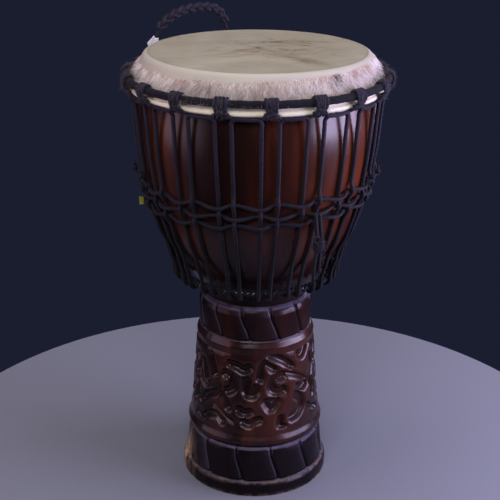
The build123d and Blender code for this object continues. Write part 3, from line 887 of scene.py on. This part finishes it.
# ---------------------------------------------------------------- lacing
# one upright rope before it is laid on the bowl: radius and height
DROP = (
    (0.1615, 0.543), (0.1594, 0.520), (0.1576, 0.495), (0.1548, 0.465), (0.1502, 0.437), (0.1446, 0.410),
    (0.1324, 0.370), (0.1206, 0.340), (0.1134, 0.322), (0.1112, 0.306),
)
# weave rows: height at the front, how far it climbs to the right, and its step across each pair of verticals
WEAVE = ((0.4390, 0.0042, 0.0022), (0.4245, 0.0036, -0.0016), (0.4125, 0.0068, 0.0016))
HITCHES = PHASE + STATION * np.arange(STATIONS)
VERTICALS = np.sort(np.concatenate([HITCHES - PAIR, HITCHES + PAIR]))


def row_height(row, theta):
    """Height of a weave row at an angle."""
    middle, climb, step = WEAVE[row]
    turn = ((np.asarray(theta) - PHASE + PAIR) % STATION) / STATION
    pair = 2 * PAIR / STATION
    saw = np.where(turn < pair, turn / pair, 1 - (turn - pair) / (1 - pair))
    return middle + climb * np.sin(np.radians(theta)) + step * (2 * smooth(saw) - 1)


def row_is_over(row, vertical):
    """Whether a row passes outside a vertical."""
    return (vertical + row) % 2 == 0


def drop_line(vertical):
    """Centre line of one vertical, from the run down to the bottom hoop."""
    theta = VERTICALS[vertical]
    g = np.random.default_rng(700 + vertical)
    line = curve(DROP, 260)
    height = line[:, 1]
    on_bowl = smooth(-height, -0.50, -0.46) * (1 - smooth(-height, -0.36, -0.33))
    radius = line[:, 0] * (1 - on_bowl) + (shell_radius(height) + 0.0030) * on_bowl
    for row in range(3):
        if not row_is_over(row, vertical):
            near = np.exp(-(((height - row_height(row, theta)) / 0.0075) ** 2))
            radius = np.maximum(radius, (shell_radius(height) + 0.0079) * near + radius * (1 - near))
    sway = g.normal(0, 0.35) * np.sin(math.pi * (height - 0.306) / 0.237) + g.normal(0, 0.12)
    return polar(radius, theta + sway, height)


def hook_line(theta):
    """Round the outside and under the bottom hoop."""
    a = np.radians(np.linspace(0, -165, 26))
    return polar(BOTTOM_R + 0.0072 * np.cos(a), theta, BOTTOM_Z + 0.0072 * np.sin(a))


def nearest_vertical(angle):
    return int(np.argmin(np.abs((VERTICALS - angle + 180) % 360 - 180)))


def lacing():
    """Each stretch: hook, up, along under the flesh hoop, down, hook."""
    rise = UP * 0.0022
    for n in range(STATIONS):
        start, stop = PHASE + n * STATION + PAIR, PHASE + (n + 1) * STATION - PAIR
        left, right = nearest_vertical(start), nearest_vertical(stop)
        down_left, down_right = drop_line(left), drop_line(right)
        g = np.random.default_rng(800 + n)
        theta = np.linspace(start + 1.5, stop - 1.5, 24)
        belly = np.sin(math.pi * np.linspace(0, 1, 24))
        run = polar(RUN_R, theta, RUN_Z + g.normal(0, 0.0006) + belly * g.normal(-0.0006, 0.0006))
        before = run[0] - (run[1] - run[0]) * 0.6 + UP * 0.0002
        after = run[-1] + (run[-1] - run[-2]) * 0.6
        turn_left = curve([down_left[3], down_left[0] + rise, before, run[0]], 12)
        turn_right = curve([run[-1], after, down_right[0] + rise, down_right[3]], 12)
        path = resample(np.vstack([
            hook_line(VERTICALS[left])[::-1][:-1], down_left[::-1][:-3], turn_left[:-1], run[:-1],
            turn_right[:-1], down_right[3:], hook_line(VERTICALS[right])[1:],
        ]), 620)
        swell = 1 + 0.035 * noise(path, 0.02, 900 + n)
        rope = join(tube(path, ROPE_R * swell, 12, relief=braid), fuzz(path, ROPE_R, 170, 0.0016, lean=1.0))
        piece(f"lacing_rope_{n + 1:02d}", rope, ROPE, "drum", f"lacing_span_{n + 1:02d}")


def weave_rows():
    """Three rounds of rope woven over and under the verticals."""
    over, under = 0.0080, 0.0027
    theta = np.linspace(-180, 180, 2160, endpoint=False)
    places = np.concatenate([VERTICALS - 360, VERTICALS, VERTICALS + 360])
    index = np.searchsorted(places, theta) - 1
    share = (theta - places[index]) / (places[index + 1] - places[index])
    for row in range(3):
        height = row_height(row, theta)
        offset = [over if row_is_over(row, v) else under for v in range(len(VERTICALS))]
        tall = np.array(offset * 3)
        away = tall[index] + (tall[index + 1] - tall[index]) * smooth(share, 0.12, 0.88)
        path = polar(shell_radius(height) + away, theta, height)
        swell = 1 + 0.04 * noise(path, 0.025, 940 + row)
        body = tube(path, ROW_R * swell, 11, closed=True, relief=braid)
        rope = join(body, fuzz(path, ROW_R, 1400, 0.0015, lean=1.0))
        piece(f"weave_rope_{row + 1}", rope, ROPE, "drum", f"weave_row_{row + 1}")


# one strand of a crown knot, seen from the side of the hoop: outwards and up from the hoop's centre, in mm
KNOT_SIDE = (
    (-3.0, -5.8), (-5.9, -3.2), (-6.4, 0.6), (-4.2, 4.8), (0.2, 6.7), (4.4, 5.0), (6.6, 1.2), (6.5, -3.6),
    (5.4, -8.2), (3.6, -11.8), (0.8, -14.8), (-2.2, -17.0), (-5.6, -17.6),
)
# how far each strand stands off the middle of the knot, at the top, the waist and the foot, in mm
KNOT_STRANDS = ((-6.4, -4.0, -12.0), (-2.6, -1.5, -7.0), (0.2, 0.3, 0.8), (2.5, 1.4, 7.2), (6.3, 4.0, 11.8))


def crown_knots():
    """Hitches on the crown hoop: strands over the top, two wraps at the waist, and a spread foot."""
    side = curve(KNOT_SIDE, 74) / 1000
    drop = np.clip(-side[:, 1] * 1000, -7, 18)
    a = np.linspace(0, 2 * math.pi, 40, endpoint=False)
    relief = three_strand(0.0045, 0.13)
    lint = []
    for n in range(STATIONS):
        g = np.random.default_rng(1000 + n)
        middle = polar(CROWN_R, HITCHES[n], CROWN_Z)
        outward, along = polar(1.0, HITCHES[n], 0.0), polar(1.0, HITCHES[n] + 90, 0.0)
        parts = []
        for top, waist, foot in KNOT_STRANDS:
            x = np.interp(drop, [-7, 3, 9.5, 13.5, 18], [top, top, waist, (waist + foot) / 2, foot]) / 1000
            x = x + noise(side @ np.eye(2, 3) + g.uniform(0, 9), 0.009, 5) * 0.0008 + g.normal(0, 0.0004)
            swell = 1 + 0.08 * noise(np.stack([x, side[:, 0], side[:, 1]], -1) + g.uniform(0, 9), 0.006, 6)
            line = middle + outward * side[:, :1] + UP * side[:, 1:] + along * x[:, None]
            parts.append(tube(line, CORD_R * swell, 8, relief=relief))
            lint.append(fuzz(line, CORD_R, 95, 0.0044, lean=0.8))
        for k in range(2):
            wide, forward = 6.0 + 2.4 * k, 3.4 - 2.4 * k + 3.4 * np.sin(a)
            low = -9.2 - 3.4 * k + 1.2 * np.sin(a + g.uniform(0, 6.28)) + g.normal(0, 0.5)
            off = along * (wide * np.cos(a))[:, None] + UP * low[:, None] + outward * forward[:, None]
            line = middle + off / 1000
            parts.append(tube(line, CORD_R * 0.86, 8, closed=True, relief=relief))
            lint.append(fuzz(line, CORD_R, 60, 0.0044))
        piece(f"crown_knot_{n + 1:02d}", join(*parts), ROPE, "drum", f"crown_loop_{n + 1:02d}")
    piece("crown_knot_fibres", join(*lint), FUZZ_AND_SHEEN, "drum")


# ---------------------------------------------------------------- small ties and tags
TIES = ((-79.0, 0.4520), (-66.0, 0.4515), (66.0, 0.4520), (76.0, 0.4510))


def tie_knots():
    """Stopper knots of the weaving rope, each a tight trefoil with a short end down to the first row."""
    cord, leg_cord, tip_cord = 0.0021, 0.0019, 0.0017
    t = np.linspace(0, 2 * math.pi, 90, endpoint=False)
    x = (np.sin(t) + 2 * np.sin(2 * t)) * 0.95
    y = (np.cos(t) - 2 * np.cos(2 * t)) * 0.95
    z = -np.sin(3 * t) * 1.5
    relief = three_strand(0.005, 0.12)
    parts = []
    for theta, height in TIES:
        middle = polar(0.1606, theta, height)
        outward, along = polar(1.0, theta, 0.0), polar(1.0, theta + 90, 0.0)
        knot = middle + (along * x[:, None] + UP * y[:, None] + outward * z[:, None]) / 1000
        parts.append(tube(knot, cord, 9, closed=True, relief=relief))
        parts.append(fuzz(knot, cord, 90, 0.0026))
        inward = 2.6 if theta < 0 else -2.6
        foot = polar(shell_radius(0.440) + 0.0080, theta + inward, row_height(0, theta) + 0.0018)
        leg = curve([middle - UP * 0.003, (middle + foot) / 2 + outward * 0.001, foot], 24)
        parts.append(tube(leg, leg_cord, 9, relief=relief))
        tip = curve(middle + [UP * 0.002, UP * 0.0058 + along * 0.0016, UP * 0.0075 + along * 0.0030], 12)
        parts.append(tube(tip, tip_cord, 8))
        parts.append(fuzz(tip[-3:], tip_cord, 24, 0.0035))
    piece("weave_tie_knots", join(*parts), ROPE, "drum", "tie_knots")


def folded_tape(middle, across, down, out, width, height, curl):
    """A blank tape tab: two layers with a rounded fold at one side and a slight curl."""
    rows, cols = 13, 19
    u = np.linspace(-1, 1, cols)[None, :]
    v = np.linspace(0, 1, rows)[:, None]
    wave = curl * (0.6 * u * v + 0.5 * np.sin(2.4 * v + u))
    taper = 1 - 0.12 * v
    layers = []
    for side in (1, -1):
        bulge = 0.0006 * np.sqrt(1 - np.abs(u) ** 6) * side
        flat = across * (u * width / 2 * taper)[..., None] + down * (v * height + 0 * u)[..., None]
        faces = grid_faces(rows, cols)
        if side > 0:
            faces = faces[:, ::-1]
        layers.append(((middle + flat + out * (bulge + wave)[..., None]).reshape(-1, 3), faces.tolist()))
    verts, faces = join(*layers)
    n = rows * cols
    for r in range(rows - 1):
        a, b = r * cols, (r + 1) * cols
        faces.append([a, b, b + n, a + n])
        a, b = a + cols - 1, b + cols - 1
        faces.append([b, a, a + n, b + n])
    for c in range(cols - 1):
        faces.append([c + 1, c, c + n, c + 1 + n])
        a = (rows - 1) * cols + c
        faces.append([a, a + 1, a + 1 + n, a + n])
    return verts, faces


def yellow_tab():
    """A plain tab on the left side, turned to the front."""
    theta = -80.5
    top = polar(0.1530, theta, 0.4100)
    tab = folded_tape(top, polar(1.0, theta, 0), -UP, polar(1.0, theta + 90, 0), 0.0066, 0.0105, 0.0006)
    piece("yellow_tab", tab, YELLOW_TAPE, "drum", "yellow_tag")


# ---------------------------------------------------------------- cords: routes as in the CAD, in metres
def nurbs_line(name, points, count):
    """Points along the smooth curve that a route's points control."""
    data = bpy.data.curves.new(name, "CURVE")
    data.dimensions = "3D"
    spline = data.splines.new("NURBS")
    spline.points.add(len(points) - 1)
    for p, at in zip(spline.points, points):
        p.co = (*at, 1.0)
    spline.order_u = 3
    spline.use_endpoint_u = True
    spline.resolution_u = 16
    ob = add(name, data)
    me = bpy.data.meshes.new_from_object(ob)
    line = np.array([v.co[:] for v in me.vertices])
    bpy.data.objects.remove(ob)
    bpy.data.meshes.remove(me)
    return resample(line, count)


# handle: metres along the chord between its eyes, and above the crown hoop
HANDLE_ROUTE = (
    (0.0, 0.0067), (-0.0014, 0.0190), (0.0006, 0.0310), (0.0090, 0.0430), (0.0230, 0.0535), (0.0420, 0.0600),
    (0.0620, 0.0620), (0.0820, 0.0615), (0.0990, 0.0555), (0.1075, 0.0440), (0.1100, 0.0320), (0.1145, 0.0190),
    (0.1213, 0.0067),
)
HANDLE_LEFT, HANDLE_RIGHT = -125.0, -167.5
HANDLE_START, HANDLE_STOP = polar(CROWN_R, HANDLE_LEFT, CROWN_Z), polar(CROWN_R, HANDLE_RIGHT, CROWN_Z)
HANDLE_ALONG = (HANDLE_STOP - HANDLE_START) / np.linalg.norm(HANDLE_STOP - HANDLE_START)


def handle_place(points):
    """Points in the handle's plane, placed on the drum."""
    p = np.asarray(points, float)
    return HANDLE_START + HANDLE_ALONG * p[:, :1] + UP * p[:, 1:]


def halfway(a, b, share=0.5):
    """A point between two."""
    return tuple(p + (q - p) * share for p, q in zip(a, b))


def plait(line, count, wide, thick, turns, strand, pitch):
    """A plait of strands that follows a line, and its stray fibres."""
    _, u, v = frames(line)
    s = np.linspace(0, 1, len(line))
    parts, fibres = [], []
    for k in range(count):
        a = 2 * math.pi * (turns * s + k / count)
        path = line + v * (wide * np.sin(a))[:, None] + u * (thick * np.sin(2 * a))[:, None]
        parts.append(tube(path, strand, 10, relief=three_strand(pitch, 0.12)))
        fibres.append(fuzz(path, strand, 150, 0.0030))
    return join(*parts), join(*fibres)


def handle():
    """The rope handle: two thin legs with eyes on the crown hoop, and a thick plaited arch between them."""
    arch = handle_place([halfway(*HANDLE_ROUTE[2:4]), *HANDLE_ROUTE[3:10], halfway(*HANDLE_ROUTE[9:11])])
    line = nurbs_line("arch_line", arch, 320)
    body, fibres = plait(line, 3, 0.0034, 0.0021, 3.1, 0.0030, 0.0075)
    braid_piece = piece("handle_plait", body, ROPE, "handle", "handle_braid")
    lint = piece("handle_plait_fibres", fibres, ROPE, "handle")
    for side, points, angle in (
        ("left", [*HANDLE_ROUTE[:3], halfway(*HANDLE_ROUTE[2:4], 0.49)], HANDLE_LEFT),
        ("right", [*HANDLE_ROUTE[:9:-1], halfway(*HANDLE_ROUTE[9:11], 0.51)], HANDLE_RIGHT),
    ):
        leg = nurbs_line(f"{side}_line", handle_place(points), 90)
        tubing = tube(leg, 0.0022, 11, relief=three_strand(0.006, 0.14))
        rope = piece(f"handle_leg_{side}", tubing, ROPE, "handle")
        eye = handle_eye(side, angle, leg)


def handle_eye(side, angle, leg):
    """Two turns of thin cord round the crown hoop at the foot of a leg, and the fibres of both."""
    cord, radius = 0.0015, 0.0071
    a = np.linspace(0, 2 * math.pi, 60, endpoint=False)
    outward, along = polar(1.0, angle, 0), polar(1.0, angle + 90, 0)
    ring = polar(CROWN_R, angle, CROWN_Z) + radius * (outward * np.cos(a)[:, None] + UP * np.sin(a)[:, None])
    parts = [fuzz(leg, 0.0022, 120, 0.0028)]
    for shift in (-0.0016, 0.0016):
        turn = ring + along * (shift * (1 - 0.5 * np.sin(a)))[:, None]
        parts.append(tube(turn, cord, 8, closed=True, relief=three_strand(0.005, 0.13)))
        parts.append(fuzz(turn, cord, 60, 0.003))
    return piece(f"handle_eye_{side}", join(*parts), ROPE, "handle", f"handle_loop_{side}")


def white_tag():
    """Blank tape folded round the handle's left leg, one end flying."""
    at = handle_place([(-0.0006, 0.0225)])[0]
    away = np.cross(HANDLE_ALONG, UP)
    a = np.linspace(0, 2 * math.pi, 28, endpoint=False)
    heights = np.linspace(-0.004, 0.004, 7)[:, None, None] * UP
    circle = HANDLE_ALONG * np.cos(a)[:, None] + away * np.sin(a)[:, None]
    rings = np.concatenate([at + 0.0034 * circle + heights, (at + 0.0030 * circle + heights)[::-1]])
    sleeve = rings, grid_faces(14, 28, True, True)
    piece("white_tag_sleeve", sleeve, WHITE_TAPE, "handle", "handle_tag")
    down = -HANDLE_ALONG * 0.80 - UP * 0.55 + away * 0.1
    across = UP * 0.82 - HANDLE_ALONG * 0.42
    corner = at - HANDLE_ALONG * 0.0010 + UP * 0.0026
    flag = folded_tape(corner, across, down, away, 0.0125, 0.0150, 0.0014)
    piece("white_tag_flag", flag, WHITE_TAPE, "handle")


# tail: metres to the right along the bowl and up, from where it leaves the weave
TAIL_ANGLE, TAIL_R, TAIL_Z = 27.5, 0.161, 0.424
TAIL_LEFT = (
    (-0.0028, 0.004), (-0.0018, -0.011), (0.0006, -0.027), (0.0012, -0.0360), (-0.0004, -0.0442),
    (-0.0026, -0.057), (-0.0039, -0.070), (-0.0036, -0.084),
)
TAIL_RIGHT = (
    (0.0028, 0.004), (0.0042, -0.011), (0.0062, -0.027), (0.0048, -0.0360), (0.0052, -0.0442),
    (0.0038, -0.057), (0.0032, -0.072),
)
TAIL_ALONG, TAIL_OUT = polar(1.0, TAIL_ANGLE + 90, 0), polar(1.0, TAIL_ANGLE, 0)


def tail_place(points):
    """Points in the tail's plane, placed on the drum."""
    p = np.asarray(points, float)
    return polar(TAIL_R, TAIL_ANGLE, TAIL_Z) + TAIL_ALONG * p[:, :1] + UP * p[:, 1:]


def tail_knot():
    """Four wraps and a small loop that bind the tail's strands, and their fibres."""
    place = tail_place([(0.0029, -0.0356)])[0]
    parts, lint = [], []
    a = np.linspace(0, 2 * math.pi, 50, endpoint=False)
    for n, wide in enumerate((0.0047, 0.0058, 0.0060, 0.0048)):
        tilt = (0.10 + 0.05 * n) * 0.0047
        across = TAIL_ALONG * (wide * np.cos(a))[:, None] + TAIL_OUT * (0.0046 * np.sin(a))[:, None]
        line = place + across + UP * (0.0054 - 0.0036 * n + tilt * np.cos(a))[:, None]
        parts.append(tube(line, 0.00215, 9, closed=True, relief=three_strand(0.006, 0.12)))
        lint.append(fuzz(line, 0.002, 170, 0.0034))
    a = np.linspace(0.1, 2 * math.pi * 0.92, 40)
    loop = TAIL_ALONG * (-0.0052 + 0.0036 * np.cos(a))[:, None] + UP * (0.0085 + 0.0042 * np.sin(a))[:, None]
    parts.append(tube(place + loop + TAIL_OUT * 0.0038, 0.0014, 8, relief=three_strand(0.005, 0.12)))
    knot = piece("tail_wraps", join(*parts), ROPE, "tail", "tail_knot")
    return [knot, piece("tail_wrap_fibres", join(*lint), FUZZ_AND_SHEEN, "tail")]


def tail():
    """Spare rope: two strands through a wrapped knot, with frayed cut ends."""
    knot = tail_knot()
    for name, points, replaced in (
        ("tail_rope_long", TAIL_LEFT, "tail_strands"), ("tail_rope_short", TAIL_RIGHT, "tail_ends"),
    ):
        line = nurbs_line(name + "_line", tail_place(points), 170)
        rope = piece(name, tube(line, 0.0024, 11, relief=braid), ROPE, "tail", replaced)
        fibres = join(fuzz(line, 0.0024, 170, 0.0022), fuzz(line[-6:], 0.0018, 80, 0.0048, lean=1.6))
        strays = piece(name + "_fibres", fibres, ROPE, "tail")


# ---------------------------------------------------------------- floor, light, camera
def floor():
    """A pale round floor."""
    look, _, shader = material("studio_floor")
    shader.inputs["Base Color"].default_value = (0.22, 0.23, 0.27, 1)
    shader.inputs["Roughness"].default_value = 0.95
    shader.inputs["Specular IOR Level"].default_value = 0.2
    edge = polar(0.50, np.linspace(0, 360, 120, endpoint=False), 0.0)
    mesh_object("studio_floor", edge, [list(range(120))], look)


# lights: name, place, target, size, watts, colour
LIGHTS = (
    ("key_right", (1.22, -0.28, 0.50), (0.12, 0, 0.51), (1.10, 0.45), 26, (0.70, 0.62, 1.0)),
    ("overhead", (0.0, -0.05, 1.75), (0, 0, 0.5), (1.0, 0.9), 10.5, (1.0, 0.955, 1.0)),
    ("fill_left", (-1.30, -0.42, 0.55), (0, 0, 0.48), (1.10, 0.90), 5.5, (1.0, 0.70, 0.95)),
    ("back", (0.45, 1.50, 0.36), (0, 0, 0.34), (1.2, 0.45), 6, (0.92, 0.92, 1.0)),
    ("front", (-0.20, -1.42, 1.45), (0, 0, 0.54), (1.0, 0.5), 15, (0.97, 0.95, 1.0)),
)


def studio():
    """A dim navy surround and soft area lights."""
    world = bpy.data.worlds.new("studio")
    world.use_nodes = True
    background = world.node_tree.nodes["Background"]
    background.inputs["Color"].default_value = (0.27, 0.34, 0.75, 1)
    background.inputs["Strength"].default_value = 0.038
    bpy.context.scene.world = world
    bpy.context.scene.view_settings.view_transform = "Standard"
    for name, at, target, size, watts, colour in LIGHTS:
        data = bpy.data.lights.new(name, "AREA")
        data.shape = "RECTANGLE"
        data.size, data.size_y = size
        data.energy = watts
        data.color = colour
        ob = add(name, data)
        ob.location = at
        ob.rotation_euler = (Vector(target) - Vector(at)).to_track_quat("-Z", "Y").to_euler()


def camera():
    """From the front and above, at about one and a half times the drum's height."""
    data = bpy.data.cameras.new("view")
    data.lens = 81.7
    data.sensor_width = 36.0
    data.clip_start = 0.01
    ob = add("view", data)
    pan, tilt, roll = math.radians(0.325), math.radians(68.72), math.radians(0.365)
    turn = Matrix.Rotation(pan, 4, "Z") @ Matrix.Rotation(tilt, 4, "X") @ Matrix.Rotation(roll, 4, "Z")
    ob.matrix_world = Matrix.Translation((0.0, -1.438, 0.886)) @ turn
    bpy.context.scene.camera = ob


camera()
studio()
floor()
handle()
white_tag()
tail()
shell()
head = drum_head()
hair = fur()
steel_cores()
crown_cloth()
bottom_rope()
lacing()
weave_rows()
crown_knots()
tie_knots()
yellow_tab()
